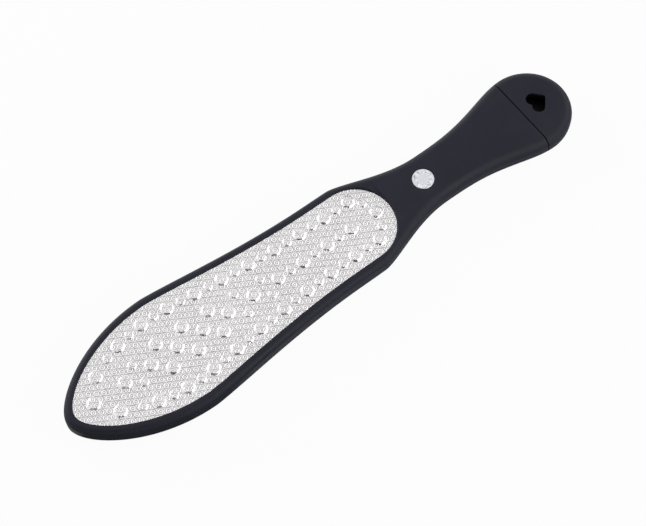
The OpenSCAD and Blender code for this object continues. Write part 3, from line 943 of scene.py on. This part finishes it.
def studio_floor(reach, white_share, mirrored_share):
    """A wide matte floor. Most of it shows as pure white, and the rest keeps the file's soft shadow."""
    graph = Graph(bpy.data.materials.new("floor_paper"))
    graph.tree.nodes.remove(graph.shader)
    paper = graph.node("BsdfDiffuse", {}, {"Color": colour(0.6, 0.6, 0.6)})
    glow = graph.node("Emission", {}, {"Color": colour(1, 1, 1), "Strength": 1.0})
    share = white_share * seen_by(graph, "Camera") + mirrored_share * seen_by(graph, "Glossy", "Transmission")
    both = graph.node("MixShader", {}, {0: share, 1: paper, 2: glow})
    graph.tree.links.new(both.socket, graph.tree.nodes["Material Output"].inputs["Surface"])
    turns = ((-1, -1), (1, -1), (1, 1), (-1, 1))
    card("studio_floor", [(reach * x, reach * y, floor_z) for x, y in turns], graph.holder)


def studio_world(light_level):
    """White for the camera and for reflections, and an even level of light."""
    graph = Graph(bpy.data.worlds.new("studio_world"), "Background")
    strength = graph.ramp(seen_by(graph, "Camera", "Glossy", "Transmission"), 0, 1, light_level, 1.0)
    bpy.context.scene.world = graph.finish(Strength=strength, Color=colour(1, 1, 1))


def softbox(name, place, size, radiance):
    """A square soft lamp that faces the middle of the file. radiance 1 is as bright as white paper."""
    lamp = bpy.data.lights.new(name, "AREA")
    lamp.size = size
    lamp.energy = radiance * math.pi * size ** 2
    holder = bpy.data.objects.new(name, lamp)
    holder.location = place
    holder.rotation_euler = (-Vector(place)).to_track_quat("-Z", "Y").to_euler()
    bpy.context.scene.collection.objects.link(holder)
    return holder


camera_yaw = math.radians(37.134)
camera_rise = math.radians(64.406)
camera_away = 0.67315
camera_aim = Vector((-0.006398, -0.005585, front_plate_z * MM))
image_right = Vector((math.cos(camera_yaw), -math.sin(camera_yaw), 0))
image_back = Vector((math.sin(camera_yaw), math.cos(camera_yaw), 0))
overhead = Vector((0, 0, 1))
towards_camera = math.sin(camera_rise) * overhead - math.cos(camera_rise) * image_back
camera = bpy.data.objects.new("camera", bpy.data.cameras.new("camera"))
camera.data.sensor_width = 36
camera.data.lens = 88.414
camera.data.clip_start = 0.01
camera.location = camera_aim + camera_away * towards_camera
camera.rotation_euler = (-towards_camera).to_track_quat("-Z", "Y").to_euler()
bpy.context.scene.collection.objects.link(camera)
bpy.context.scene.camera = camera
bpy.context.scene.view_settings.view_transform = "Standard"

studio_floor(reach=3, white_share=0.95, mirrored_share=0.1)
studio_world(light_level=0.42)


def stand_at(turn, rise, away):
    """A place at a turn from straight behind the file to its right, at a rise over the floor, in degrees."""
    turn, rise = math.radians(turn), math.radians(rise)
    flat = math.cos(turn) * image_back + math.sin(turn) * image_right
    return away * (math.cos(rise) * flat + math.sin(rise) * overhead)


lamp_away = 1.2
for name, turn, rise, size, radiance, mirrored in (
        ("left_softbox", -58, 26, 0.9, 1.15, True),
        ("back_softbox", 60, 26, 0.7, 1.1, True),
        ("right_softbox", 124, 36, 0.9, 2.2, True),
        ("left_fill", -60, 12, 0.8, 9, False),
        ("right_fill", 105, 12, 0.8, 4, False)):
    softbox(name, stand_at(turn, rise, lamp_away), size, radiance).visible_glossy = mirrored

wall_away = 0.9
wall_right, wall_left = stand_at(136, 0, wall_away), stand_at(226, 0, wall_away)
wall_low, wall_high = 0.3 * overhead, 1.4 * overhead
wall_corners = [wall_left + wall_low, wall_right + wall_low, wall_right + wall_high, wall_left + wall_high]
card_z = floor_z / 2
white_corners = [(-0.5, 0.032, card_z), (0.3, 0.032, card_z), (0.3, 0.6, card_z), (-0.5, 0.6, card_z)]
# Painted shadow: a grey card on the floor by the toe, seen only in reflections, stands for the floor's shade
# there.
shadow_card_corners = [(-0.15, 0, card_z), (-0.02, -0.045, card_z), (-0.06, -0.16, card_z), (-0.22, -0.12, card_z)]
velvet = Graph(bpy.data.materials.new("velvet")).finish(Base_Color=colour(0.02, 0.02, 0.02), Roughness=0.9)
shining_white = Graph(bpy.data.materials.new("reflector_white")).finish(
    Base_Color=colour(0, 0, 0), Emission_Color=colour(1, 1, 1), Emission_Strength=1.5)
shadow_felt = Graph(bpy.data.materials.new("painted_shadow_felt")).finish(Base_Color=colour(0.15, 0.15, 0.15), Roughness=0.9)
for name, corners, material in (
        ("dark_wall", wall_corners, velvet),
        ("reflector", white_corners, shining_white),
        ("painted_shadow_card", shadow_card_corners, shadow_felt)):
    mirrored_card = card(name, corners, material)
    for ray in ("camera", "diffuse", "transmission", "volume_scatter", "shadow"):
        setattr(mirrored_card, "visible_" + ray, False)
